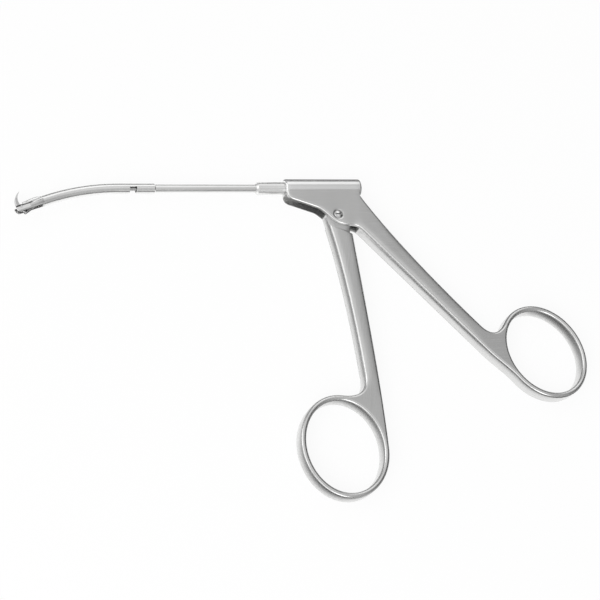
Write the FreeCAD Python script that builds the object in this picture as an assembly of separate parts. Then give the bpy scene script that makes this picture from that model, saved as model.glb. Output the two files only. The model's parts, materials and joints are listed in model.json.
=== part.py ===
import FreeCAD, Part
import math
import os

# Backbiter forceps for sinus surgery, all in surgical stainless steel, millimetres.
# The instrument lies on its side: X runs along the shaft with the jaw towards -X,
# Y points from the handles to the barrel, and Z is the thickness and the pivot axis.
# The shapes are drawn with the barrel axis on X and the barrel's front face at X = 0.
# At the end everything moves so that the origin is the bottom centre of the whole.

V = FreeCAD.Vector

# Barrel and cheeks of the fixed handle
barrel_d = 6.86
barrel_length = 30.0
bore_d = 4.66
ferrule_seat = 5.0
bore_floor = 8.6
slot_width = 4.2
slot_rear_wall = 3.6
slot_skin = 0.5
front_corner_drop = 4.9
front_corner_round = 2.0
cheek_bend_x = 10.5
cheek_bend_drop = 8.8
cheek_low_drop = 16.2
cheek_low_setback = 8.0

# Pivot and front lever
pivot_setback = 11.3
pivot_drop = 11.85
pivot_boss_r = 4.7
tongue_inset = 0.05
tongue_gap = 0.1
finger_width = 3.0
finger_neck_width = 2.0
finger_thickness = 2.2
finger_neck_drop = 4.2
shoulder_left_drop = 4.05
shoulder_right_drop = 7.9
arm_foot_left = 4.2
arm_foot_right = 4.4

# Arms and finger rings
ring_half_long = 16.8
ring_half_short = 14.2
ring_band = 2.0
handle_thickness = 6.3
front_ring_x = 6.0
front_ring_drop = 100.5
front_ring_lean = 3.4
rear_ring_x = 91.3
rear_ring_drop = 68.5
rear_ring_lean = 28.0
rear_arm_foot = 5.3
rear_foot_step = 1.9
back_setback = 1.6
back_drop = 3.3
edge_round = 0.95
rim_round = 0.8

# Pivot screw
screw_head_d = 3.3
screw_head_height = 1.0
screw_head_sink = 0.75
screw_rim = 0.45
screw_tip_sink = 0.1
screw_shank_d = 2.4
screw_thread_d = 2.0
screw_slot_width = 0.5
screw_slot_depth = 0.45
screw_dish_d = 4.4
screw_dish_depth = 0.4

# Rear plug of the barrel
plug_length = 5.8
plug_dome = 0.6

# Neck, straight tube and curved sleeve
neck_length = 11.0
neck_chamfer = 0.7
tube_d = 3.04
tube_bore_d = 2.2
tube_seat = 4.4
sleeve_d = 3.75
sleeve_bore_d = 2.9
sleeve_start = 48.9
sleeve_overlap = 5.2
sleeve_chamfer = 0.45
curve_start = 62.5
curve_radius = 80.0
curve_angle = 19.0
sleeve_tip = 1.5
notch_start = 55.9
notch_length = 2.6

# Drive rod, shoe, nut, guides and band
rod_d = 1.6
rod_front = 62.0
rod_slit_length = 3.2
guide_length = 3.0
nut_length = 1.4
nut_flats = 3.2
shoe_front_wall = 4.4
shoe_rear_wall = 3.8
shoe_roof = 0.75
band_thickness = 0.5
band_width = 1.4
band_guide_start = 2.4
rivet_d = 0.6
rivet_setback = 1.5

# Jaw frame, jaw and link at the tip, along the tip's own axis
hinge_reach = 9.8
frame_end = 11.7
rail_gap = 2.3
window_start = 3.4
rail_flat_start = 6.6
channel_start = 2.1
hinge_pin_d = 0.8
knuckle_r = 1.08
crank_r = 1.7
jaw_swing = 70.0
hook_height = 5.8
hook_reach_back = 1.9
hook_front = 1.1
link_pin_reach = 3.0
link_pin_d = 0.6
link_eye_r = 0.52
eye_r = 0.55
rail_flat = 0.3
hook_point = 0.45
root_lean = 55.0
link_width = 2.0
tang_width = 0.8

# Clearances
press_gap = 0.02
slide_gap = 0.05
pin_gap = 0.04
side_gap = 0.05
slit_gap = 0.12
link_slot_gap = 0.08

pivot_x = barrel_length - pivot_setback
slot_end = barrel_length - slot_rear_wall
cheek_low_x = barrel_length - cheek_low_setback
half_barrel = barrel_d / 2
half_body = handle_thickness / 2
tongue_half = slot_width / 2 - tongue_gap
crank_angle = math.radians(jaw_swing / 2)
jaw_stroke = 2 * crank_r * math.sin(crank_angle)


def cyl_x(diameter, x0, x1):
    """Cylinder on the barrel axis between two stations."""
    return Part.makeCylinder(diameter / 2, x1 - x0, V(x0, 0, 0), V(1, 0, 0))


def cyl_z(diameter, x, y, z0, z1):
    """Cylinder parallel to the pivot axis."""
    return Part.makeCylinder(diameter / 2, z1 - z0, V(x, y, z0), V(0, 0, 1))


def box(x0, x1, y0, y1, z0, z1):
    return Part.makeBox(x1 - x0, y1 - y0, z1 - z0, V(x0, y0, z0))


def curve(*points):
    """Smooth edge with the given points as its control points."""
    bezier = Part.BezierCurve()
    bezier.setPoles([V(x, y, 0) for x, y in points])
    return bezier.toShape()


def line(a, b):
    return Part.makeLine(V(a[0], a[1], 0), V(b[0], b[1], 0))


def loop(points):
    """Straight edges that join the points into a closed outline."""
    return [line(a, b) for a, b in zip(points, points[1:] + points[:1])]


def slab(edges, z0, z1):
    """Closed outline in the XY plane, made solid between two heights."""
    wire = Part.Wire(Part.__sortEdges__(edges))
    face = Part.Face(wire).translated(V(0, 0, z0))
    return face.extrude(V(0, 0, z1 - z0))


def ring_spot(x, drop, lean, along, across):
    """Point given along and across a ring's own axes."""
    k = math.radians(90 + lean)
    return (x + along * math.cos(k) - across * math.sin(k),
            -drop + along * math.sin(k) + across * math.cos(k))


def ring_point(x, drop, lean, outward, angle):
    """Point on a ring's oval, a distance outside its opening, and its direction there."""
    a = ring_half_long + outward
    b = ring_half_short + outward
    t = math.radians(angle)
    k = math.radians(90 + lean)
    along, across = a * math.cos(t), b * math.sin(t)
    px = x + along * math.cos(k) - across * math.sin(k)
    py = -drop + along * math.sin(k) + across * math.cos(k)
    da, dc = -a * math.sin(t), b * math.cos(t)
    dx = da * math.cos(k) - dc * math.sin(k)
    dy = da * math.sin(k) + dc * math.cos(k)
    size = math.hypot(dx, dy)
    return (px, py), (dx / size, dy / size)


def oval(x, drop, lean, outward, z0, z1):
    """Oval prism around a ring's centre, a distance outside its opening."""
    a = ring_half_long + outward
    b = ring_half_short + outward
    ellipse = Part.Ellipse(V(0, 0, 0), a, b)
    face = Part.Face(Part.Wire(ellipse.toShape()))
    face.rotate(V(0, 0, 0), V(0, 0, 1), 90 + lean)
    face.translate(V(x, -drop, z0))
    return face.extrude(V(0, 0, z1 - z0))


def tip_frame(shape):
    """Place a shape drawn along -X onto the straight end of the curved sleeve."""
    a = math.radians(curve_angle)
    placed = shape.copy()
    placed.rotate(V(0, 0, 0), V(0, 0, 1), curve_angle)
    placed.translate(V(-curve_start - curve_radius * math.sin(a), -curve_radius * (1 - math.cos(a)), 0))
    return placed


def soften(shape, radius, keep):
    """Round the edges that keep() picks by their middle point."""
    edges = []
    for edge in shape.Edges:
        middle = edge.valueAt((edge.FirstParameter + edge.LastParameter) / 2)
        if keep(edge, middle):
            edges.append(edge)
    return shape.makeFillet(radius, edges)


def on_face(edge):
    """True when an edge of the outline runs along one of the two big faces of a handle."""
    if edge.BoundBox.YLength < 0.01:
        return False
    span = edge.LastParameter - edge.FirstParameter
    heights = [abs(edge.valueAt(edge.FirstParameter + span * k / 6).z) for k in range(7)]
    return min(heights) > half_body - 0.02


def aim(a, b):
    size = math.hypot(b[0] - a[0], b[1] - a[1])
    return ((b[0] - a[0]) / size, (b[1] - a[1]) / size)


def moved(point, direction, distance):
    return (point[0] + direction[0] * distance, point[1] + direction[1] * distance)


def flat_bar(a, b, half_width, z0, z1):
    """Flat bar from one point to another."""
    along = aim(a, b)
    side = (-along[1], along[0])
    corners = [moved(a, side, half_width), moved(b, side, half_width),
               moved(b, side, -half_width), moved(a, side, -half_width)]
    return slab(loop(corners), z0, z1)


def handle_body():
    """Fixed handle in one forging: barrel, two cheeks, rear arm and rear finger ring."""
    ring = (rear_ring_x, rear_ring_drop, rear_ring_lean)
    outer_long = ring_half_long + ring_band
    outer_short = ring_half_short + ring_band
    top = (0, 0)
    rear = (barrel_length - back_setback, 0)
    corner = (0, -front_corner_drop)
    bend = (cheek_bend_x, -cheek_bend_drop)
    low = (cheek_low_x, -cheek_low_drop)
    foot = (cheek_low_x + rear_arm_foot, -cheek_low_drop - rear_foot_step)
    back = (barrel_length - back_setback, -back_drop)
    # Lower outline from the front corner to the left side of the ring
    under = ring_spot(*ring, 0.7 * ring_half_long, outer_short + 3.7)
    down = aim(foot, under)
    knee = moved(foot, down, 1.5)
    touch, along = ring_point(*ring, ring_band, 100)
    face_end = (0, -front_corner_drop + front_corner_round)
    round_end = moved(corner, aim(corner, bend), front_corner_round)
    edges = [line(top, face_end), curve(face_end, corner, round_end), line(round_end, bend)]
    edges.append(curve(bend, moved(bend, aim(corner, bend), 4.4), (low[0] - 6.5, low[1] + 0.4), low))
    edges.append(curve(low, (low[0] + 3.6, low[1] - 0.3), moved(foot, down, -2.2), knee))
    edges.append(line(knee, under))
    edges.append(curve(under, moved(under, down, 5), moved(touch, along, -6), touch))
    # Saddle above the ring and the long curved back of the arm
    centre = ring_spot(*ring, 0, 0)
    rest, rising = ring_point(*ring, ring_band, 24)
    over = ring_spot(*ring, outer_long + 2.8, outer_short - 0.1)
    edges += [line(touch, centre), line(centre, rest)]
    edges.append(curve(rest, moved(rest, rising, 5.0), moved(over, down, 6.6), over))
    edges.append(curve(over, (over[0] - 12, over[1] + 14.4), (back[0] + 9.6, back[1] - 17.6), back))
    edges += [line(back, rear), line(rear, top)]
    body = slab(edges, -half_body, half_body)
    body = body.fuse(oval(*ring, ring_band, -half_body, half_body))
    body = body.cut(oval(*ring, 0, -half_body - 1, half_body + 1)).removeSplitter()
    body = soften(body, edge_round, lambda e, m: on_face(e) and (m.x < 1 or m.y < -back_drop - 0.1))
    # Barrel with eased rims, its bore, and the slot between the cheeks
    barrel = soften(cyl_x(barrel_d, 0, barrel_length), rim_round, lambda e, m: e.Length > barrel_d)
    body = body.fuse(barrel).removeSplitter()
    body = body.cut(cyl_x(bore_d, -1, barrel_length + 1))
    floor = -bore_d / 2 - slot_skin
    half_slot = slot_width / 2
    below = -cheek_low_drop - 10
    body = body.cut(box(-1, slot_end, below, floor, -half_slot, half_slot))
    body = body.cut(box(bore_floor, slot_end, floor - 1, 0, -half_slot, half_slot))
    # Shallow dish in the near cheek, and the screw's stepped hole: counterbore, clear hole, thread
    dish_r = ((screw_dish_d / 2) ** 2 + screw_dish_depth ** 2) / (2 * screw_dish_depth)
    body = body.cut(Part.makeSphere(dish_r, V(pivot_x, -pivot_drop, half_body + dish_r - screw_dish_depth)))
    sink = half_body - screw_head_sink
    for size, z0, z1 in ((screw_head_d + 2 * slide_gap, sink, half_barrel),
                         (screw_shank_d + 2 * press_gap, 0, half_body),
                         (screw_thread_d + 2 * press_gap, -half_body - 1, 0)):
        body = body.cut(cyl_z(size, pivot_x, -pivot_drop, z0, z1))
    return body


def front_handle():
    """Moving lever: finger at the top, thin tongue on the pivot, arm and finger ring."""
    ring = (front_ring_x, front_ring_drop, front_ring_lean)
    outer_long = ring_half_long + ring_band
    left = (pivot_x - arm_foot_left, -pivot_drop - shoulder_left_drop)
    right = (pivot_x + arm_foot_right, -pivot_drop - shoulder_right_drop)
    waist = ring_spot(*ring, outer_long + 7.4, -ring_half_short + 0.75)
    lip, along = ring_point(*ring, ring_band, -11)
    side, upward = ring_point(*ring, ring_band, -98)
    centre = ring_spot(*ring, 0, 0)
    drop = waist[1] - left[1]
    edges = [curve(left, (left[0] + 2.1, left[1] + drop * 0.25), (waist[0], waist[1] - drop * 0.4), waist)]
    edges.append(curve(waist, (waist[0] + 0.45, waist[1] - 8.5), moved(lip, along, -5), lip))
    edges += [line(lip, centre), line(centre, side)]
    edges.append(curve(side, moved(side, upward, 25), (right[0] + 0.1, right[1] - 30), right))
    edges.append(curve(right, (right[0] - 2.6, right[1] + 1.9), (left[0] + 2.4, left[1] - 0.9), left))
    arm = slab(edges, -half_body, half_body)
    arm = arm.fuse(oval(*ring, ring_band, -half_body, half_body))
    arm = arm.cut(oval(*ring, 0, -half_body - 1, half_body + 1)).removeSplitter()
    arm = soften(arm, edge_round, lambda e, m: on_face(e))
    # Tongue that runs up between the cheeks, then the finger that enters the barrel
    tongue = cyl_z(2 * pivot_boss_r, pivot_x, -pivot_drop, -tongue_half, tongue_half)
    deep = right[1] - 3
    strip = [(pivot_x - pivot_boss_r, -pivot_drop), (pivot_x + pivot_boss_r, -pivot_drop),
             (right[0] - edge_round, right[1]), (right[0] - edge_round - 0.3, deep),
             (left[0] + edge_round + 0.6, deep), (left[0] + tongue_inset, left[1])]
    tongue = tongue.fuse(slab(loop(strip), -tongue_half, tongue_half))
    half_finger = finger_width / 2
    neck = -finger_neck_drop
    tongue = tongue.fuse(box(pivot_x - half_finger, pivot_x + half_finger, -pivot_drop, neck,
                             -tongue_half, tongue_half))
    thin = finger_thickness / 2
    half_neck = finger_neck_width / 2
    tongue = tongue.fuse(box(pivot_x - half_neck, pivot_x + half_neck, neck - 1, 0, -thin, thin))
    tongue = tongue.fuse(cyl_z(finger_width, pivot_x, 0, -thin, thin))
    lever = arm.fuse(tongue).removeSplitter()
    return lever.cut(cyl_z(screw_shank_d + 2 * pin_gap, pivot_x, -pivot_drop, -half_body, half_body))


def pivot_screw():
    """Domed slotted screw: head in the near cheek, shank in the lever, thread in the far cheek."""
    seat = half_body - screw_head_sink
    centre = V(pivot_x, -pivot_drop, 0)
    radius = screw_head_d / 2
    rise = screw_head_height - screw_rim
    ball_r = (radius ** 2 + rise ** 2) / (2 * rise)
    head = cyl_z(screw_head_d, centre.x, centre.y, seat, seat + screw_head_height)
    dome = Part.makeSphere(ball_r, V(centre.x, centre.y, seat + screw_head_height - ball_r))
    head = head.common(dome)
    top = seat + screw_head_height
    reach = screw_head_d
    head = head.cut(box(centre.x - reach, centre.x + reach, centre.y - screw_slot_width / 2,
                        centre.y + screw_slot_width / 2, top - screw_slot_depth, top + 1))
    shank_end = -slot_width / 2
    screw = head.fuse(cyl_z(screw_shank_d, centre.x, centre.y, shank_end, seat))
    return screw.fuse(cyl_z(screw_thread_d, centre.x, centre.y, -half_body + screw_tip_sink, shank_end))


def barrel_end_plug():
    """Plug that closes the barrel behind the shoe, with a low dome outside."""
    radius = bore_d / 2 - press_gap
    ball_r = (radius ** 2 + plug_dome ** 2) / (2 * plug_dome)
    plug = cyl_x(2 * radius, barrel_length - plug_length, barrel_length + plug_dome)
    ball = Part.makeSphere(ball_r, V(barrel_length + plug_dome - ball_r, 0, 0))
    cap = plug.common(ball)
    return cap.fuse(cyl_x(2 * radius, barrel_length - plug_length, barrel_length)).removeSplitter()


def neck_ferrule():
    """Neck that carries the shaft tube and is fixed in the front of the barrel."""
    outer = bore_d - 2 * press_gap
    neck = cyl_x(outer, -neck_length, ferrule_seat)
    front = [e for e in neck.Edges if abs(e.BoundBox.XMax + neck_length) < 0.01]
    neck = neck.makeChamfer(neck_chamfer, front)
    neck = neck.cut(cyl_x(tube_d + 2 * press_gap, -neck_length - 1, tube_seat))
    return neck.cut(cyl_x(rod_d + 4 * slide_gap, 0, ferrule_seat + 1))


def rod_guide():
    """Guide bush behind the ferrule that keeps the drive rod central."""
    bush = cyl_x(bore_d - 2 * press_gap, ferrule_seat, ferrule_seat + guide_length)
    return bush.cut(cyl_x(rod_d + 2 * slide_gap, 0, ferrule_seat + guide_length + 1))


def shaft_tube():
    """Straight tube from the neck into the curved sleeve."""
    x0 = -sleeve_start - sleeve_overlap
    tube = cyl_x(tube_d, x0, tube_seat - slide_gap)
    return tube.cut(cyl_x(tube_bore_d, x0 - 1, tube_seat))


def bent_bar(profile_face, x_from, tip_length, start_angle=0.0):
    """Sweep a face in the YZ plane: straight, round the curve, then straight again."""
    sweep = curve_angle - start_angle
    centre = V(-curve_start, -curve_radius, 0)
    at_curve = profile_face.translated(V(-curve_start, 0, 0))
    at_curve.rotate(centre, V(0, 0, 1), start_angle)
    pieces = [at_curve.revolve(centre, V(0, 0, 1), sweep)]
    if x_from is not None:
        start = profile_face.translated(V(x_from, 0, 0))
        pieces.append(start.extrude(V(-curve_start - x_from, 0, 0)))
    if tip_length:
        pieces.append(tip_frame(profile_face.extrude(V(-tip_length, 0, 0))))
    bar = pieces[0]
    for piece in pieces[1:]:
        bar = bar.fuse(piece)
    return bar.removeSplitter()


def disc(diameter):
    """Round face in the YZ plane."""
    circle = Part.makeCircle(diameter / 2, V(0, 0, 0), V(1, 0, 0))
    return Part.Face(Part.Wire(circle))


def plate_face(height, width):
    """Rectangular face in the YZ plane."""
    y, z = height / 2, width / 2
    points = [V(0, -y, -z), V(0, y, -z), V(0, y, z), V(0, -y, z), V(0, -y, -z)]
    return Part.Face(Part.makePolygon(points))


def curved_sleeve():
    """Outer sleeve of the front half, bent down near the jaw, with a notch over the rod."""
    sleeve = bent_bar(disc(sleeve_d), -sleeve_start, sleeve_tip)
    rear = [e for e in sleeve.Edges if abs(e.BoundBox.XMin + sleeve_start) < 0.01]
    sleeve = sleeve.makeChamfer(sleeve_chamfer, rear)
    sleeve = sleeve.cut(bent_bar(disc(sleeve_bore_d), -sleeve_start + 1, sleeve_tip + 1))
    sleeve = sleeve.cut(cyl_x(tube_d + 2 * press_gap, -sleeve_start - sleeve_overlap, -sleeve_start + 1))
    x1 = -notch_start
    return sleeve.cut(box(x1 - notch_length, x1, -sleeve_d, 0, -sleeve_d, sleeve_d))


def band_guide():
    """Curved liner with a flat channel that keeps the thin drive band from buckling."""
    outer = disc(sleeve_bore_d - 2 * press_gap)
    start = band_guide_start
    liner = bent_bar(outer, None, 0, start)
    channel = plate_face(band_thickness + 2 * slide_gap, band_width + 4 * slide_gap)
    return liner.cut(bent_bar(channel, -curve_start + 1, 1))


def drive_rod():
    """Straight drive rod, threaded into the shoe behind and slit for the band in front."""
    rear = shoe_front() + shoe_front_wall - 0.4
    rod = cyl_x(rod_d, -rod_front, rear)
    slit = band_thickness / 2 + slit_gap
    rod = rod.cut(box(-rod_front - 1, -rod_front + rod_slit_length, -slit, slit, -rod_d, rod_d))
    hole = Part.makeCylinder(rivet_d / 2 + press_gap, 2 * rod_d, V(-rod_front + rivet_setback, -rod_d, 0),
                             V(0, 1, 0))
    return rod.cut(hole)


def band_rivet():
    """Rivet through the slit end of the rod that holds the band."""
    length = rod_d - 0.1
    return Part.makeCylinder(rivet_d / 2, length, V(-rod_front + rivet_setback, -length / 2, 0), V(0, 1, 0))


def drive_band():
    """Flexible steel band that carries the push round the curve to the link."""
    tail = -rod_front + rod_slit_length - 0.3
    reach = link_pin_reach - link_eye_r - 3 * side_gap
    band = bent_bar(plate_face(band_thickness, band_width), tail, reach)
    hole = Part.makeCylinder(rivet_d / 2 + 2 * slide_gap, rod_d, V(-rod_front + rivet_setback, -rod_d / 2, 0),
                             V(0, 1, 0))
    band = band.cut(hole)
    half = tang_width / 2
    eye = cyl_z(2 * eye_r, -link_pin_reach, 0, -half, half)
    flat = band_thickness / 2
    eye = eye.fuse(box(-link_pin_reach, -reach + 0.3, -flat, flat, -half, half))
    clear = tip_frame(cyl_z(link_pin_d + 2 * press_gap, -link_pin_reach, 0, -half, half))
    return band.fuse(tip_frame(eye)).cut(clear).removeSplitter()


def shoe_front():
    """Station of the shoe's front face."""
    return pivot_x - finger_width / 2 - slide_gap - shoe_front_wall


def drive_shoe():
    """Sliding shoe in the barrel, with a pocket for the lever's round finger."""
    x0 = shoe_front()
    gap = finger_width / 2 + slide_gap
    x1 = pivot_x + gap + shoe_rear_wall
    outer = bore_d - 2 * slide_gap
    shoe = cyl_x(outer, x0, x1)
    ends = [e for e in shoe.Edges if e.Length > outer and abs(e.BoundBox.XMax - e.BoundBox.XMin) < 0.01]
    shoe = shoe.makeChamfer(0.25, ends)
    half = finger_thickness / 2 + side_gap
    roof = outer / 2 - shoe_roof
    shoe = shoe.cut(box(pivot_x - gap, pivot_x + gap, -outer, roof, -half, half))
    return shoe.cut(cyl_x(rod_d + 2 * press_gap, x0 - 1, pivot_x - gap))


def shoe_lock_nut():
    """Hexagon nut that locks the shoe on the rod's thread."""
    x1 = shoe_front()
    corner_r = nut_flats / math.sqrt(3)
    points = []
    for k in range(7):
        turn = math.radians(60 * k)
        points.append(V(x1 - nut_length, corner_r * math.cos(turn), corner_r * math.sin(turn)))
    nut = Part.Face(Part.makePolygon(points)).extrude(V(nut_length, 0, 0))
    return nut.cut(cyl_x(rod_d + 2 * press_gap, x1 - nut_length - 1, x1 + 1))


def jaw_frame():
    """Fixed jaw: two rails with a through window, round nose and a tenon in the sleeve."""
    tenon = Part.makeCylinder(sleeve_bore_d / 2 - press_gap, sleeve_tip, V(-sleeve_tip, 0, 0), V(1, 0, 0))
    body = Part.makeCylinder(sleeve_d / 2, frame_end - sleeve_tip, V(-frame_end, 0, 0), V(1, 0, 0))
    # Round nose about the hinge, seen from the side
    nose_r = frame_end - hinge_reach
    blunt = cyl_z(2 * nose_r, -hinge_reach, 0, -sleeve_d, sleeve_d)
    blunt = blunt.fuse(box(-hinge_reach, 0, -sleeve_d, sleeve_d, -sleeve_d, sleeve_d))
    body = body.common(blunt).fuse(tenon).removeSplitter()
    body = body.cut(cyl_x(tube_bore_d, -window_start, 1))
    body = body.cut(cyl_x(rail_gap + 4 * side_gap, -window_start, -channel_start))
    half = rail_gap / 2
    body = body.cut(box(-frame_end - 1, -window_start, -0.1, sleeve_d, -half, half))
    body = body.cut(box(-frame_end - 1, -channel_start, -sleeve_d, 0, -half, half))
    # Sides filed flat beside the window, leaving slim rails
    flat = sleeve_d / 2 - rail_flat
    for side in (-1, 1):
        z0, z1 = sorted((side * flat, side * sleeve_d))
        body = body.cut(box(-frame_end - 1, -rail_flat_start, -sleeve_d, sleeve_d, z0, z1))
    return tip_frame(body.cut(cyl_z(hinge_pin_d + 2 * press_gap, -hinge_reach, 0, -sleeve_d, sleeve_d)))


def crank_point():
    """Place of the jaw's crank pin at rest, in the tip's own axes."""
    return (-hinge_reach + crank_r * math.sin(crank_angle), -crank_r * math.cos(crank_angle))


def back_cutting_jaw():
    """Moving jaw: knuckle on the hinge pin, curved backward hook, and crank tang below."""
    x0 = -hinge_reach
    tip = (x0 + hook_reach_back, hook_height)
    root = (x0 - knuckle_r, 0.1)
    heel = (x0 - 0.1, knuckle_r - 0.12)
    edges = [curve(root, (x0 - hook_front - 0.1, 2.6), (x0 - hook_front + 0.1, 4.6), tip)]
    edges.append(curve(tip, (x0 - hook_front + 1.25, 4.3), (x0 - hook_front + 0.75, 3.0), heel))
    edges.append(line(heel, root))
    half = rail_gap / 2 - side_gap
    hook = slab(edges, -half, half)
    # Only the upper front of the knuckle is full width, so that the link can pass below
    root_zone = box(knuckle_r * 0.26, 2 * knuckle_r, -2 * knuckle_r, 2 * knuckle_r, -half, half)
    root_zone.rotate(V(0, 0, 0), V(0, 0, 1), 180 - root_lean)
    knuckle = cyl_z(2 * knuckle_r, x0, 0, -half, half).common(root_zone.translated(V(x0, 0, 0)))
    # Point the hook's plan form, so that its cutting end is narrower than its root
    point = half - hook_point
    side = [V(0, knuckle_r + 2.6, half), V(0, hook_height + 1, point), V(0, hook_height + 1, half + 1),
            V(0, knuckle_r + 2.6, half + 1), V(0, knuckle_r + 2.6, half)]
    trim = Part.Face(Part.makePolygon(side)).translated(V(x0 - 5, 0, 0)).extrude(V(10, 0, 0))
    hook = hook.cut(trim).cut(trim.mirror(V(0, 0, 0), V(0, 0, 1)))
    cx, cy = crank_point()
    thin = tang_width / 2 - side_gap
    tang = cyl_z(2 * link_eye_r, cx, cy, -thin, thin).fuse(cyl_z(2 * knuckle_r, x0, 0, -thin, thin))
    tang = tang.fuse(flat_bar((x0, 0), (cx, cy), link_eye_r, -thin, thin)).removeSplitter()
    jaw = hook.fuse([knuckle, tang]).removeSplitter()
    jaw = jaw.cut(cyl_z(hinge_pin_d + 2 * pin_gap, x0, 0, -sleeve_d, sleeve_d))
    return tip_frame(jaw.cut(cyl_z(link_pin_d + 2 * press_gap, cx, cy, -sleeve_d, sleeve_d)))


def drive_link():
    """Link between the band's eye and the jaw's crank, forked at both ends."""
    crank = crank_point()
    rear = (-link_pin_reach, 0)
    ahead = aim(rear, crank)
    side = (-ahead[1], ahead[0])
    # The crank pin dips as the jaw turns, so its hole is a short slot
    dip = crank_r * (1 - math.cos(crank_angle)) + link_slot_gap
    low = moved(crank, side, dip)
    half = link_width / 2
    w = link_eye_r
    body = cyl_z(2 * w, rear[0], rear[1], -half, half)
    for spot in (crank, low):
        body = body.fuse(cyl_z(2 * w, *spot, -half, half))
    outline = [moved(rear, side, -w), moved(crank, side, -w), moved(crank, ahead, w),
               moved(low, ahead, w), moved(low, side, w), moved(rear, side, w)]
    body = body.fuse(slab(loop(outline), -half, half)).removeSplitter()
    hole = link_pin_d + 2 * link_slot_gap
    through = half + 1
    slot = flat_bar(crank, low, hole / 2, -through, through)
    for spot in (crank, low):
        slot = slot.fuse(cyl_z(hole, *spot, -through, through))
    body = body.cut(slot).cut(cyl_z(link_pin_d + 2 * pin_gap, *rear, -through, through))
    # Fork slots for the band's eye and for the jaw's tang
    fork = tang_width / 2 + side_gap
    eye_room = eye_r + 0.25
    body = body.cut(box(rear[0] - eye_room, rear[0] + 2, -3, 3, -fork, fork))
    tang_room = link_eye_r + jaw_stroke + 0.3
    body = body.cut(box(crank[0] - 3, crank[0] + tang_room, -4, 1, -fork, fork))
    return tip_frame(body)


def tip_pin(diameter, x, y, length):
    """Cross pin at the tip, centred between the rails."""
    return tip_frame(cyl_z(diameter, x, y, -length / 2, length / 2))


def jaw_hinge_pin():
    """Pin that carries the moving jaw between the rails."""
    return tip_pin(hinge_pin_d, -hinge_reach, 0, 2 * (sleeve_d / 2 - rail_flat) + 0.1)


def crank_pin():
    """Pin in the jaw's tang that the link pushes on."""
    return tip_pin(link_pin_d, *crank_point(), link_width)


def link_pin():
    """Pin in the band's eye that carries the link."""
    return tip_pin(link_pin_d, -link_pin_reach, 0, link_width)


PARTS = [handle_body, front_handle, pivot_screw, barrel_end_plug, neck_ferrule, rod_guide, shaft_tube,
         curved_sleeve, band_guide, drive_rod, band_rivet, drive_band, drive_shoe, shoe_lock_nut,
         jaw_frame, back_cutting_jaw, drive_link, jaw_hinge_pin, crank_pin, link_pin]

shapes = {make.__name__: make() for make in PARTS}
whole = FreeCAD.BoundBox()
for shape in shapes.values():
    whole.add(shape.optimalBoundingBox(False))
origin = V(-whole.Center.x, -whole.Center.y, -whole.ZMin)


def report(name, x, y):
    print(f"{name}: {x + origin.x:.4f} {y + origin.y:.4f} {origin.z:.4f}")


os.makedirs("parts", exist_ok=True)
for name, shape in shapes.items():
    placed = shape.translated(origin)
    placed.exportStep(f"parts/{name}.step")
    print(f"{name}: {len(placed.Solids)} solid, valid {placed.isValid()}, {placed.Volume:.3f} mm3")
print("size", round(whole.XLength, 2), round(whole.YLength, 2), round(whole.ZLength, 2))
for label, point in (("hinge", (-hinge_reach, 0)), ("crank", crank_point()), ("link", (-link_pin_reach, 0))):
    spot = tip_frame(Part.Vertex(*point, 0)).Point
    report(label, spot.x, spot.y)
report("pivot", pivot_x, -pivot_drop)
report("curve centre", -curve_start, -curve_radius)
report("barrel front", 0, 0)
report("front ring", front_ring_x, -front_ring_drop)
report("rear ring", rear_ring_x, -rear_ring_drop)
print(f"stroke {jaw_stroke:.4f} mm")
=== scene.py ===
import json
import math

import bpy
from mathutils import Matrix, Vector
from mathutils.bvhtree import BVHTree

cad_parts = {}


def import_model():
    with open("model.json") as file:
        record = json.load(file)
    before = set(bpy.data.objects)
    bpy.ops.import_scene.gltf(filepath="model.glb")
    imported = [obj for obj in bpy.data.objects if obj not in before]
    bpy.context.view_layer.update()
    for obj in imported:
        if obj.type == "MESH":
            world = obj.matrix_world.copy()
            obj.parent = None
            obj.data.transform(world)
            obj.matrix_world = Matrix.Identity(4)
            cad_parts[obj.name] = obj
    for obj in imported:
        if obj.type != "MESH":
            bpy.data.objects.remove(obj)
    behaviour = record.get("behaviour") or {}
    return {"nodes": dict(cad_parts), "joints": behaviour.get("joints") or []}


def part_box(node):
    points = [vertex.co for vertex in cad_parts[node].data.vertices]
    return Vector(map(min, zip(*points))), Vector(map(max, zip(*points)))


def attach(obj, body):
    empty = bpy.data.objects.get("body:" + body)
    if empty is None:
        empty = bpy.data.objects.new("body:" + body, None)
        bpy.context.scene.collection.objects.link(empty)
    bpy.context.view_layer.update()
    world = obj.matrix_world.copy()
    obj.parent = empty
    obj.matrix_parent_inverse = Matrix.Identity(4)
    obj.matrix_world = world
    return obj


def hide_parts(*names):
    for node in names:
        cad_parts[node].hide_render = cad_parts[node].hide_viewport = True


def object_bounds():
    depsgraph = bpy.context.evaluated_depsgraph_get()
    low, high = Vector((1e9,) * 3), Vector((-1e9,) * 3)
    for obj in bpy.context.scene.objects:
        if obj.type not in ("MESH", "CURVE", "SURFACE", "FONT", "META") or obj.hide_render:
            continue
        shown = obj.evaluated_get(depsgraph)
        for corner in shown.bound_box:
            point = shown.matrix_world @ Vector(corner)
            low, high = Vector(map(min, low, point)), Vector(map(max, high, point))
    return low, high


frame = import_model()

# Backbiter forceps in surgical steel. All lengths are metres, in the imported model's frame.
CAD_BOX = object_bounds()
NODES = frame["nodes"]
JOINTS = {joint["name"]: joint for joint in frame["joints"]}
PIVOT = Vector(JOINTS["lever_swing"]["pos_m"])
HINGE = Vector(JOINTS["jaw_close"]["pos_m"])
TIP_TILT = math.radians(19)
ALONG_X = 0.0
# Centres of the finger rings, and how far a ring reaches from its centre
FRONT_RING = PIVOT + Vector((-0.0127, -0.08865, 0))
REAR_RING = PIVOT + Vector((0.0726, -0.05665, 0))
RING_REACH = 0.023

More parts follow.
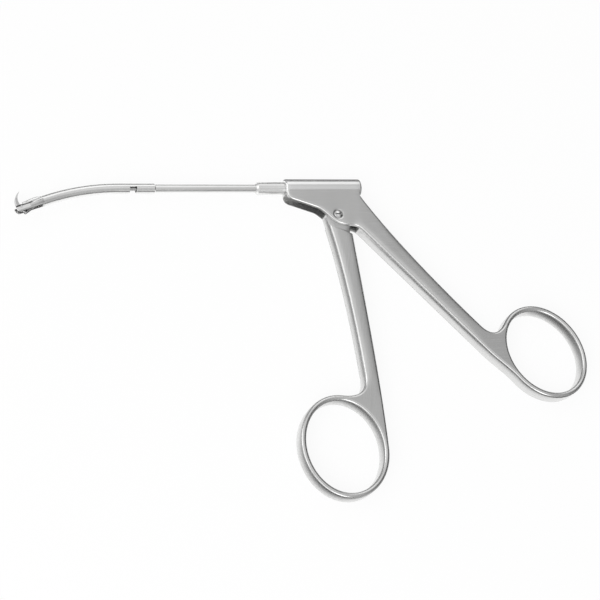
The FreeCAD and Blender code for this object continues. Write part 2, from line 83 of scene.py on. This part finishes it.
# Jaw frame, measured from the hinge along the tip and above it.
# Line filed in each rail, cut into the frame and also painted dark as its shade: its end, lower and
# upper edge, soft rim and depth
LINE_END = 0.0044
LINE_LOW = 0.00018
LINE_HIGH = 0.00062
LINE_SOFT = 0.00012
LINE_FADE = 8 * LINE_SOFT
LINE_DEPTH = 0.0003
# Over the nose no line is cut: a painted shadow line, where the root of the hook meets the frame,
# runs between these two points of its middle, wider and darker
NOSE_LINE = ((-0.0025, 0.0005), (0.0008, 0.00045))
NOSE_FADE = (0.0004, 0.0012)
NOSE_WIDEN = 0.00012
# Painted shade of the line: the colour level in it, and its share along the rails past the nose
LINE_SHADE_LEVEL = 0.08
LINE_SHADE_STRENGTH = 0.7
# Saddle over the nose, which bares the root of the hook
SADDLE_END = 0.0008
SADDLE_HEIGHT = 0.00072
# Section of a rail, and its raised back: station behind the hinge and height above the plain rail
RAIL_INNER = 0.00115
RAIL_OUTER = 0.001575
RAIL_RADIUS = 0.001875
RAIL_ROOT = 0.0008
RAIL_STEPS = 5
RAIL_BACK = (
    (0.0009, 0.00002),
    (0.003, 0.00028),
    (0.0052, 0.00045),
    (0.0066, 0.00042),
    (0.0078, 0.00002),
)
SHARP_ANGLE = math.radians(30)

# Steel tones
# Painted reflection: white colour of the polished barrel
POLISHED_SHEEN = (1.0, 1.0, 1.0, 1)
BRIGHT = (0.92, 0.92, 0.915)
SATIN = (0.76, 0.76, 0.755)
JAW = (0.82, 0.82, 0.815)
HOOK = (0.6, 0.6, 0.6)
# Painted shade: dark tone of the inner pieces, which lie in the shade of the parts round them
INNER_SHADE_TONE = (0.24, 0.24, 0.24)
# Grain of the finish: length and width of a mark, and the depth of its groove
GRAIN_LENGTH = 0.02
GRAIN_WIDTH = 0.0003
FINE_WIDTH = 0.0001
GROOVE_DEPTH = 0.00005
STREAK_TONES = (0.3, 0.7, 0.95, 1.05)
SMUDGE_SIZE = 0.012
SMUDGE_TONES = (0.3, 0.7, 0.97, 1.03)
# Painted shade in slots and corners, and between the cheeks of a handle: how far it darkens the
# colour round them, and how much
CREVICE_SHADE_SHARES = (0.3, 0.85)
CREVICE_SHADE_REACH = 0.0008
CREVICE_SHADE_LEVEL = 0.15
FRAME_CREVICE_SHADE_LEVEL = 0.55
CHEEK_SHADE_REACH = 0.003
CHEEK_SHADE_LEVEL = 0.75
# Crown of the two handles: its radius, and its share on walls, faces, cheeks and rings
CROWN_RADIUS = 0.0035
WALL_CROWN = 0.6
FACE_CROWN = 0.5
CHEEK_ZONE = (PIVOT.y - 0.008, PIVOT.y - 0.001)
CHEEK_CROWN = 0.12
RING_CROWN = 0.12
RING_ZONE = (RING_REACH, 1.4 * RING_REACH)
# Above this height the barrel is polished, and its colour is painted white as a painted reflection
# band
BARREL_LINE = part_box("handle_body")[1][1] - 0.0052
BARREL_SOFT = 0.0001

# Camera, fitted to the finger rings and the barrel in the photograph
LENS = 99.77
SENSOR = 36.0
LOOK = Vector((0.34709, 0.35421, -0.86837))
LEVEL_RIGHT = Vector((0.93784, -0.13109, 0.32138))
LEVEL_UP = Vector((0, 0.92594, 0.37769))
ROLL = -0.0248
AIM_POINT = Vector((-0.00501, 0.01353, 0.00343))
DISTANCE = 0.5961
CLIP_START = 0.01

# Studio
FLOOR_SIZE = 6.0
FLOOR_COLOUR = (0.97, 0.97, 0.97, 1)
FLOOR_SHARE = 0.09
ROOM_LEVEL = 0.42
KEY_PLACE = (-0.7, -0.55, 0.75)
KEY_SIZE = (0.7, 0.7)
KEY_POWER = 6.0
# Soft boxes and dark flats of the room: azimuth, elevation, full and faded angle, level
PANELS = (
    (158, 32, 14, 36, 0.8),
    (205, 34, 12, 34, 0.45),
    (250, 32, 10, 32, 0.55),
    (75, 34, 8, 24, 0.5),
    (15, 34, 14, 50, -0.42),
    (45, 66, 10, 46, 0.36),
    (264, 26, 5, 22, 1.4),
    (150, 21, 4, 15, 0.7),
    (226, 30, 3, 14, 0.25),
)
# Towards the horizon the room is darker: low and high end of the rise, level at the low end
HORIZON = (0.04, 0.33, 0.22)
# Dark card on the table, seen only in reflections, which paints dark reflections into the steel: its
# grid, and where it starts and is full by the piece next to it
DARK_REFLECTION_STEP = 0.001
DARK_REFLECTION_MARGIN = 0.09
DARK_REFLECTION_HEIGHT = 0.0001
DARK_REFLECTION_COLOUR = (0.08, 0.08, 0.08, 1)
DARK_REFLECTION_LEVER = (0.001, 0.0026)
DARK_REFLECTION_ALONG = (0.0026, 0.0046)
DARK_REFLECTION_SHAFT = (0.008, 0.02)
DARK_REFLECTION_OUTER = (0.065, 0.085)
# The painted dark reflection is at its darkest on this side, and lighter in front of and behind a
# piece
DARK_REFLECTION_DEEP_SIDE = Vector((-0.6, -0.8, 0))
DARK_REFLECTION_DEEP = (0.3, 1.0)
DARK_REFLECTION_ENDS = (0.75, 0.95)
DARK_REFLECTION_LEAST = 0.42


def new_material(name):
    """Empty node material with a metal shader."""
    material = bpy.data.materials.new(name)
    material.use_nodes = True
    tree = material.node_tree
    tree.nodes.clear()
    output = tree.nodes.new("ShaderNodeOutputMaterial")
    shader = tree.nodes.new("ShaderNodeBsdfPrincipled")
    tree.links.new(shader.outputs["BSDF"], output.inputs["Surface"])
    return material, tree, shader


def ramp(tree, value, low, high, dark, light):
    """Map a value between two limits onto two levels, and hold it outside them."""
    node = tree.nodes.new("ShaderNodeMapRange")
    tree.links.new(value, node.inputs["Value"])
    node.inputs["From Min"].default_value = low
    node.inputs["From Max"].default_value = high
    node.inputs["To Min"].default_value = dark
    node.inputs["To Max"].default_value = light
    return node.outputs["Result"]


def combine(tree, operation, a, b):
    node = tree.nodes.new("ShaderNodeMath")
    node.operation = operation
    tree.links.new(a, node.inputs[0])
    tree.links.new(b, node.inputs[1])
    return node.outputs["Value"]


def times(tree, a, b):
    return combine(tree, "MULTIPLY", a, b)


def object_place(tree):
    """Object coordinates, which are the frame's own at rest."""
    return tree.nodes.new("ShaderNodeTexCoord").outputs["Object"]


def split(tree, vector):
    node = tree.nodes.new("ShaderNodeSeparateXYZ")
    tree.links.new(vector, node.inputs["Vector"])
    return node.outputs


def turned_place(tree, angle, centre=(0, 0, 0)):
    """Object coordinates turned back about Z, so that their X runs along a direction."""
    turn = tree.nodes.new("ShaderNodeVectorRotate")
    turn.rotation_type = "Z_AXIS"
    turn.inputs["Center"].default_value = centre
    turn.inputs["Angle"].default_value = -angle
    tree.links.new(object_place(tree), turn.inputs["Vector"])
    return turn.outputs["Vector"]


def grain(tree, angle, width, detail=3.0):
    """Noise drawn out along one direction in the XY plane, like the marks of a grinding belt."""
    stretch = tree.nodes.new("ShaderNodeVectorMath")
    stretch.operation = "MULTIPLY"
    stretch.inputs[1].default_value = (1 / GRAIN_LENGTH, 1 / width, 1 / width)
    tree.links.new(turned_place(tree, angle), stretch.inputs[0])
    noise = tree.nodes.new("ShaderNodeTexNoise")
    noise.inputs["Scale"].default_value = 1.0
    noise.inputs["Detail"].default_value = detail
    noise.inputs["Roughness"].default_value = 0.6
    tree.links.new(stretch.outputs["Vector"], noise.inputs["Vector"])
    return noise.outputs["Fac"]


def smudges(tree):
    """Soft cloudy variation, as handling leaves on satin steel."""
    noise = tree.nodes.new("ShaderNodeTexNoise")
    noise.inputs["Scale"].default_value = 1 / SMUDGE_SIZE
    noise.inputs["Detail"].default_value = 2.0
    tree.links.new(object_place(tree), noise.inputs["Vector"])
    return noise.outputs["Fac"]


def painted_crevice_shade(tree, reach, level, own_only):
    """Painted shade: slots and corners darken the colour, by the occlusion of what is round them."""
    node = tree.nodes.new("ShaderNodeAmbientOcclusion")
    node.samples = 8
    node.only_local = own_only
    node.inputs["Distance"].default_value = reach
    return ramp(tree, node.outputs["AO"], *CREVICE_SHADE_SHARES, level, 1.0)


def groove_and_nose_shade(tree):
    """Strength of the painted shade in the filed line along each rail of the jaw frame, and of the
    painted shadow line over the nose.
    """
    place = split(tree, turned_place(tree, TIP_TILT, HINGE))
    end = HINGE.x + LINE_END
    fade = ramp(tree, place["X"], end - LINE_FADE, end, 1.0, 0.0)
    (nose_x, nose_y), (root_x, root_y) = NOSE_LINE
    middle = (LINE_LOW + LINE_HIGH) / 2
    shifts = (middle - nose_y, middle - root_y)
    drop = ramp(tree, place["X"], HINGE.x + nose_x, HINGE.x + root_x, *shifts)
    near, far = (HINGE.x + x for x in NOSE_FADE)
    widen = ramp(tree, place["X"], near, far, NOSE_WIDEN, 0.0)
    lifted = combine(tree, "ADD", place["Y"], drop)
    upper = combine(tree, "ADD", lifted, widen)
    lower = combine(tree, "SUBTRACT", lifted, widen)
    low, high = (HINGE.y + LINE_LOW, HINGE.y + LINE_HIGH)
    over = ramp(tree, upper, low, low + LINE_SOFT, 0.0, 1.0)
    under = ramp(tree, lower, high - LINE_SOFT, high, 1.0, 0.0)
    line_shade_strength = ramp(tree, place["X"], near, far, 1.0, LINE_SHADE_STRENGTH)
    return times(tree, times(tree, fade, line_shade_strength), times(tree, over, under))


def crowned_normal(tree, ring):
    """Softly crowned faces: rounded normals, less so on the cheeks, the barrel and the ring."""
    soft = tree.nodes.new("ShaderNodeBevel")
    soft.samples = 8
    soft.inputs["Radius"].default_value = CROWN_RADIUS
    true = tree.nodes.new("ShaderNodeNewGeometry")
    facing = tree.nodes.new("ShaderNodeMath")
    facing.operation = "ABSOLUTE"
    tree.links.new(split(tree, true.outputs["Normal"])["Z"], facing.inputs[0])
    share = ramp(tree, facing.outputs["Value"], 0.05, 0.95, WALL_CROWN, FACE_CROWN)
    # The cheeks and the barrel are milled flatter than the arms
    height = split(tree, object_place(tree))["Y"]
    share = times(tree, share, ramp(tree, height, *CHEEK_ZONE, 1.0, CHEEK_CROWN))
    reach = tree.nodes.new("ShaderNodeVectorMath")
    reach.operation = "DISTANCE"
    reach.inputs[1].default_value = ring
    tree.links.new(object_place(tree), reach.inputs[0])
    near_ring = ramp(tree, reach.outputs["Value"], *RING_ZONE, RING_CROWN, 1.0)
    blend = tree.nodes.new("ShaderNodeMix")
    blend.data_type = "VECTOR"
    tree.links.new(times(tree, share, near_ring), blend.inputs["Factor"])
    tree.links.new(true.outputs["Normal"], blend.inputs["A"])
    tree.links.new(soft.outputs["Normal"], blend.inputs["B"])
    unit = tree.nodes.new("ShaderNodeVectorMath")
    unit.operation = "NORMALIZE"
    tree.links.new(blend.outputs["Result"], unit.inputs[0])
    return unit.outputs["Vector"]


def steel(name, tone, roughness, angle, bump=0.08, width=GRAIN_WIDTH, metal=0.92,
          crevice_shade_level=CREVICE_SHADE_LEVEL, ring=None, polished=None, painted_line_shade=False):
    """Brushed steel: streaky tone and roughness over fine grooves.

    A handle gives the centre of its ring and gets crowned faces. A height above which the steel is
    polished with its colour painted white as a painted reflection, and the painted shade of the filed
    line and nose of the jaw frame, can be asked for.
    """
    material, tree, shader = new_material(name)
    streaks = grain(tree, angle, width)
    level = times(tree, ramp(tree, streaks, *STREAK_TONES), ramp(tree, smudges(tree), *SMUDGE_TONES))
    # Painted shade: on a handle the occlusion reaches far enough to darken the gap between its cheeks
    if ring:
        dark = painted_crevice_shade(tree, CHEEK_SHADE_REACH, CHEEK_SHADE_LEVEL, True)
    else:
        dark = painted_crevice_shade(tree, CREVICE_SHADE_REACH, crevice_shade_level, False)
    level = times(tree, level, dark)
    # Painted shade in the filed line, and a painted shadow line over the nose
    if painted_line_shade:
        level = times(tree, level, ramp(tree, groove_and_nose_shade(tree), 0.0, 1.0, 1.0, LINE_SHADE_LEVEL))
    mix = tree.nodes.new("ShaderNodeMix")
    mix.data_type = "RGBA"
    mix.blend_type = "MULTIPLY"
    mix.inputs["Factor"].default_value = 1.0
    mix.inputs["A"].default_value = (*tone, 1)
    tree.links.new(level, mix.inputs["B"])
    colour = mix.outputs["Result"]
    # Painted reflection: above the line the barrel's colour is painted white
    if polished:
        height = split(tree, object_place(tree))["Y"]
        above = ramp(tree, height, polished - BARREL_SOFT, polished + BARREL_SOFT, 0.0, 1.0)
        zone = tree.nodes.new("ShaderNodeMix")
        zone.data_type = "RGBA"
        tree.links.new(above, zone.inputs["Factor"])
        tree.links.new(colour, zone.inputs["A"])
        zone.inputs["B"].default_value = POLISHED_SHEEN
        colour = zone.outputs["Result"]
    tree.links.new(colour, shader.inputs["Base Color"])
    shader.inputs["Metallic"].default_value = metal
    rough = ramp(tree, streaks, 0.25, 0.75, roughness * 0.85, roughness * 1.2)
    tree.links.new(rough, shader.inputs["Roughness"])
    grooves = tree.nodes.new("ShaderNodeBump")
    grooves.inputs["Strength"].default_value = bump
    grooves.inputs["Distance"].default_value = GROOVE_DEPTH
    tree.links.new(grain(tree, angle, width / 2, 2.0), grooves.inputs["Height"])
    if ring:
        tree.links.new(crowned_normal(tree, ring), grooves.inputs["Normal"])
    tree.links.new(grooves.outputs["Normal"], shader.inputs["Normal"])
    return material


def dress(node, material):
    mesh = NODES[node].data
    mesh.materials.clear()
    mesh.materials.append(material)


def dress_nodes():
    """Finish of every CAD node. The grain of each handle runs along its arm."""
    front_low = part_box("front_handle")[0]
    front_lean = math.atan2(PIVOT.y - front_low.y, PIVOT.x - front_low.x)
    body = steel("handle_steel", SATIN, 0.2, ALONG_X, bump=0.04, ring=REAR_RING, polished=BARREL_LINE)
    dress("handle_body", body)
    dress("front_handle", steel("lever_steel", SATIN, 0.2, front_lean, bump=0.04, ring=FRONT_RING))
    dress("pivot_screw", steel("screw_steel", BRIGHT, 0.14, ALONG_X))
    dress("barrel_end_plug", steel("plug_steel", SATIN, 0.2, ALONG_X))
    dress("neck_ferrule", steel("ferrule_steel", BRIGHT, 0.25, ALONG_X, metal=0.7))
    for tube in ("shaft_tube", "curved_sleeve"):
        dress(tube, steel(tube + "_steel", BRIGHT, 0.16, ALONG_X))
    # The hook carries the painted shadow line where its root meets the nose of the frame
    hook = steel("hook_steel", HOOK, 0.28, math.pi / 2, width=FINE_WIDTH, painted_line_shade=True)
    dress("back_cutting_jaw", hook)
    dress("jaw_hinge_pin", steel("hinge_pin_steel", JAW, 0.2, ALONG_X, width=FINE_WIDTH))
    for inner in ("band_guide", "drive_rod", "drive_band"):
        dress(inner, steel(inner + "_steel", HOOK, 0.3, ALONG_X, width=FINE_WIDTH))
    # Painted shade: the inner pieces get a dark tone, as if in shadow inside the instrument
    for inner in ("rod_guide", "drive_shoe", "shoe_lock_nut", "band_rivet", "drive_link",
                  "crank_pin", "link_pin"):
        dress(inner, steel(inner + "_steel", INNER_SHADE_TONE, 0.3, ALONG_X, width=FINE_WIDTH))


def new_object(name, data):
    obj = bpy.data.objects.new(name, data)
    bpy.context.scene.collection.objects.link(obj)
    return obj


def solid(name, points, faces):
    """Closed mesh given in the tip's own axes, measured from the hinge."""
    place = Matrix.Translation(HINGE) @ Matrix.Rotation(TIP_TILT, 4, "Z")
    mesh = bpy.data.meshes.new(name)
    mesh.from_pydata([place @ Vector(p) for p in points], [], faces)
    return new_object(name, mesh)


def block(name, low, high):
    points = [(x, y, z) for x in (low[0], high[0]) for y in (low[1], high[1])
              for z in (low[2], high[2])]
    faces = [(0, 1, 3, 2), (4, 6, 7, 5), (0, 4, 5, 1), (2, 3, 7, 6), (0, 2, 6, 4), (1, 5, 7, 3)]
    return solid(name, points, faces)


def rail_back(name, side):
    """Back of one rail: sections of the round rail, lifted by the height at each station."""
    points = []
    for x, lift in RAIL_BACK:
        points.append((x, RAIL_ROOT, side * RAIL_INNER))
        for i in range(RAIL_STEPS + 1):
            z = RAIL_INNER + (RAIL_OUTER - RAIL_INNER) * i / RAIL_STEPS
            points.append((x, math.sqrt(RAIL_RADIUS ** 2 - z ** 2) + lift, side * z))
        points.append((x, RAIL_ROOT, side * RAIL_OUTER))
    row = RAIL_STEPS + 3
    last = len(points) - 1
    faces = [tuple(range(row)), tuple(range(last, last - row, -1))]
    for k in range(len(RAIL_BACK) - 1):
        for i in range(row):
            j = (i + 1) % row
            faces.append((k * row + j, k * row + i, (k + 1) * row + i, (k + 1) * row + j))
    if side > 0:
        faces = [face[::-1] for face in faces]
    return solid(name, points, faces)


def filed_jaw_frame():
    """Jaw frame with raised rail backs, a saddle over its nose and a line filed in each rail."""
    piece = new_object("jaw_frame_filed", NODES["jaw_frame"].data.copy())
    wide = 2 * RAIL_RADIUS
    tools = [("UNION", rail_back("back_near", 1)), ("UNION", rail_back("back_far", -1))]
    saddle = block("saddle", (-wide, SADDLE_HEIGHT, -wide), (SADDLE_END, wide, wide))
    tools.append(("DIFFERENCE", saddle))
    for side in (-1, 1):
        z0, z1 = sorted((side * (RAIL_OUTER - LINE_DEPTH), side * wide))
        cut = block("line", (SADDLE_END, LINE_LOW, z0), (LINE_END, LINE_HIGH, z1))
        tools.append(("DIFFERENCE", cut))
    for operation, tool in tools:
        step = piece.modifiers.new(operation.lower(), "BOOLEAN")
        step.operation = operation
        step.object = tool
        step.solver = "EXACT"
    bpy.context.view_layer.update()
    shaped = piece.evaluated_get(bpy.context.evaluated_depsgraph_get())
    mesh = bpy.data.meshes.new_from_object(shaped)
    piece.modifiers.clear()
    piece.data = mesh
    for _, tool in tools:
        bpy.data.objects.remove(tool)
    mesh.shade_smooth()
    mesh.set_sharp_from_angle(angle=SHARP_ANGLE)
    # Normals weighted by area keep the flat sides of the rails flat
    weigh = piece.modifiers.new("weigh", "WEIGHTED_NORMAL")
    weigh.keep_sharp = True
    mesh.materials.clear()
    # The frame's steel carries the painted shade of its filed line and the painted shadow over its
    # nose
    mesh.materials.append(steel("jaw_frame_steel", BRIGHT, 0.2, TIP_TILT, width=0.0002, painted_line_shade=True,
                                crevice_shade_level=FRAME_CREVICE_SHADE_LEVEL))
    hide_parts("jaw_frame")
    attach(piece, "handle")


def camera():
    forward = LOOK.normalized()
    right = LEVEL_RIGHT * math.cos(ROLL) + LEVEL_UP * math.sin(ROLL)
    up = LEVEL_UP * math.cos(ROLL) - LEVEL_RIGHT * math.sin(ROLL)
    data = bpy.data.cameras.new("camera")
    data.lens = LENS
    data.sensor_width = SENSOR
    data.clip_start = CLIP_START
    obj = new_object("camera", data)
    turn = Matrix((right, up, -forward)).transposed().to_4x4()
    obj.matrix_world = Matrix.Translation(AIM_POINT - forward * DISTANCE) @ turn
    bpy.context.scene.camera = obj


def surface_material(name):
    """Empty node material with its output alone."""
    material = bpy.data.materials.new(name)
    material.use_nodes = True
    nodes = material.node_tree.nodes
    nodes.clear()
    output = nodes.new("ShaderNodeOutputMaterial")
    return material, nodes, material.node_tree.links, output.inputs["Surface"]


def floor():
    """White paper sweep: the lamps give a part of its tone, so that shadows on it stay faint."""
    mesh = bpy.data.meshes.new("floor")
    half = FLOOR_SIZE / 2
    corners = [(-half, -half, 0), (half, -half, 0), (half, half, 0), (-half, half, 0)]
    mesh.from_pydata(corners, [], [(0, 1, 2, 3)])
    obj = new_object("floor", mesh)
    material, nodes, links, surface = surface_material("floor_paper")
    paper = nodes.new("ShaderNodeBsdfDiffuse")
    paper.inputs["Color"].default_value = FLOOR_COLOUR
    white = nodes.new("ShaderNodeEmission")
    white.inputs["Strength"].default_value = 1.0
    seen = nodes.new("ShaderNodeMixShader")
    path = nodes.new("ShaderNodeLightPath")
    direct = nodes.new("ShaderNodeMath")
    direct.operation = "MAXIMUM"
    links.new(path.outputs["Is Camera Ray"], direct.inputs[0])
    links.new(path.outputs["Is Glossy Ray"], direct.inputs[1])
    share = nodes.new("ShaderNodeMath")
    share.operation = "MULTIPLY"
    links.new(direct.outputs["Value"], share.inputs[0])
    share.inputs[1].default_value = 1 - FLOOR_SHARE
    links.new(share.outputs["Value"], seen.inputs["Fac"])
    links.new(paper.outputs["BSDF"], seen.inputs[1])
    links.new(white.outputs["Emission"], seen.inputs[2])
    links.new(seen.outputs["Shader"], surface)
    mesh.materials.append(material)


def share_of(value, low, high):
    """How far a value has come from one limit to the other, from 0 to 1."""
    return min(1, max(0, (value - low) / (high - low)))


def dark_reflection_strength(owner, spot, nearest, gap):
    """Darkness of the painted dark reflection card at one spot, by the piece nearest to it and the
    side it lies on.
    """
    way = (spot - nearest).normalized()
    in_ring = way.dot(REAR_RING - nearest) > 0 and (spot - REAR_RING).length < RING_REACH
    if owner == "front_handle" or owner == "handle_body" and in_ring:
        limits = DARK_REFLECTION_LEVER
        deep = share_of(way.dot(DARK_REFLECTION_DEEP_SIDE), *DARK_REFLECTION_DEEP)
        strength = DARK_REFLECTION_LEAST + (1 - DARK_REFLECTION_LEAST) * deep
    elif owner == "handle_body":
        limits = DARK_REFLECTION_ALONG
        strength = 1 - (1 - DARK_REFLECTION_LEAST) * share_of(abs(way.x), *DARK_REFLECTION_ENDS)
    else:
        limits = DARK_REFLECTION_SHAFT
        strength = 1
    return share_of(gap, *limits) * (1 - share_of(gap, *DARK_REFLECTION_OUTER)) * strength


def dark_reflection_card():
    """Painted dark reflections: a dark card on the table round the instrument, hidden from the
    camera, from diffuse light and from shadows, and seen only in the gloss of the steel.
    """
    vertices = []
    triangles = []
    owners = []
    for name, node in NODES.items():
        start = len(vertices)
        vertices += [tuple(v.co) for v in node.data.vertices]
        triangles += [tuple(start + i for i in p.vertices) for p in node.data.polygons]
        owners += [name] * len(node.data.polygons)
    tree = BVHTree.FromPolygons(vertices, triangles)
    low, high = CAD_BOX
    count_x = int((high[0] - low[0] + 2 * DARK_REFLECTION_MARGIN) / DARK_REFLECTION_STEP)
    count_y = int((high[1] - low[1] + 2 * DARK_REFLECTION_MARGIN) / DARK_REFLECTION_STEP)
    middle = (low[2] + high[2]) / 2
    points = []
    shades = []
    for j in range(count_y + 1):
        for i in range(count_x + 1):
            x = low[0] - DARK_REFLECTION_MARGIN + i * DARK_REFLECTION_STEP
            y = low[1] - DARK_REFLECTION_MARGIN + j * DARK_REFLECTION_STEP
            spot = Vector((x, y, middle))
            nearest, _, index, gap = tree.find_nearest(spot)
            points.append((x, y, DARK_REFLECTION_HEIGHT))
            shades.append(dark_reflection_strength(owners[index], spot, nearest, gap))
    row = count_x + 1
    faces = [(j * row + i, j * row + i + 1, (j + 1) * row + i + 1, (j + 1) * row + i)
             for j in range(count_y) for i in range(count_x)]
    mesh = bpy.data.meshes.new("dark_reflection_card")
    mesh.from_pydata(points, [], faces)
    shade = mesh.attributes.new("shade", "FLOAT", "POINT")
    shade.data.foreach_set("value", shades)
    obj = new_object("dark_reflection_card", mesh)
    material, nodes, links, surface = surface_material("dark_reflection_card_colour")
    mix = nodes.new("ShaderNodeMixShader")
    clear = nodes.new("ShaderNodeBsdfTransparent")
    dark = nodes.new("ShaderNodeBsdfDiffuse")
    dark.inputs["Color"].default_value = DARK_REFLECTION_COLOUR
    how_dark = nodes.new("ShaderNodeAttribute")
    how_dark.attribute_name = "shade"
    links.new(how_dark.outputs["Fac"], mix.inputs["Fac"])
    links.new(clear.outputs["BSDF"], mix.inputs[1])
    links.new(dark.outputs["BSDF"], mix.inputs[2])
    links.new(mix.outputs["Shader"], surface)
    mesh.materials.append(material)
    # The card paints dark reflections only: camera rays, diffuse light and shadows pass it by
    obj.visible_camera = False
    obj.visible_diffuse = False
    obj.visible_shadow = False
    obj.visible_transmission = False


def lamp(name, place, size, power):
    """Soft lamp aimed at the middle of the frame."""
    data = bpy.data.lights.new(name, "AREA")
    data.shape = "RECTANGLE"
    data.size, data.size_y = size
    data.energy = power
    obj = new_object(name, data)
    obj.location = place
    obj.rotation_euler = (-Vector(place)).to_track_quat("-Z", "Y").to_euler()
    obj.visible_camera = False
    obj.visible_glossy = False


def heading(azimuth, elevation):
    a = math.radians(azimuth)
    e = math.radians(elevation)
    return (math.cos(e) * math.cos(a), math.cos(e) * math.sin(a), math.sin(e))


def world():
    """Soft room light: an even dome with broad soft boxes and dark flats by direction."""
    surroundings = bpy.data.worlds.new("studio")
    surroundings.use_nodes = True
    tree = surroundings.node_tree
    background = tree.nodes["Background"]
    direction = tree.nodes.new("ShaderNodeTexCoord").outputs["Generated"]
    total = None
    for azimuth, elevation, inner, outer, level in PANELS:
        near = tree.nodes.new("ShaderNodeVectorMath")
        near.operation = "DOT_PRODUCT"
        tree.links.new(direction, near.inputs[0])
        near.inputs[1].default_value = heading(azimuth, elevation)
        low = math.cos(math.radians(outer))
        high = math.cos(math.radians(inner))
        glow = ramp(tree, near.outputs["Value"], low, high, 0.0, level)
        glow.node.interpolation_type = "SMOOTHSTEP"
        add = tree.nodes.new("ShaderNodeMath")
        add.operation = "ADD"
        add.inputs[1].default_value = ROOM_LEVEL
        if total:
            tree.links.new(total, add.inputs[1])
        tree.links.new(glow, add.inputs[0])
        total = add.outputs["Value"]
    low, high, dark = HORIZON
    rise = ramp(tree, split(tree, direction)["Z"], low, high, dark, 1.0)
    background.inputs["Color"].default_value = (1, 1, 1, 1)
    tree.links.new(times(tree, total, rise), background.inputs["Strength"])
    bpy.context.scene.world = surroundings


dress_nodes()
filed_jaw_frame()
camera()
floor()
dark_reflection_card()
world()
lamp("key", KEY_PLACE, KEY_SIZE, KEY_POWER)

bpy.context.scene.view_settings.view_transform = "Standard"
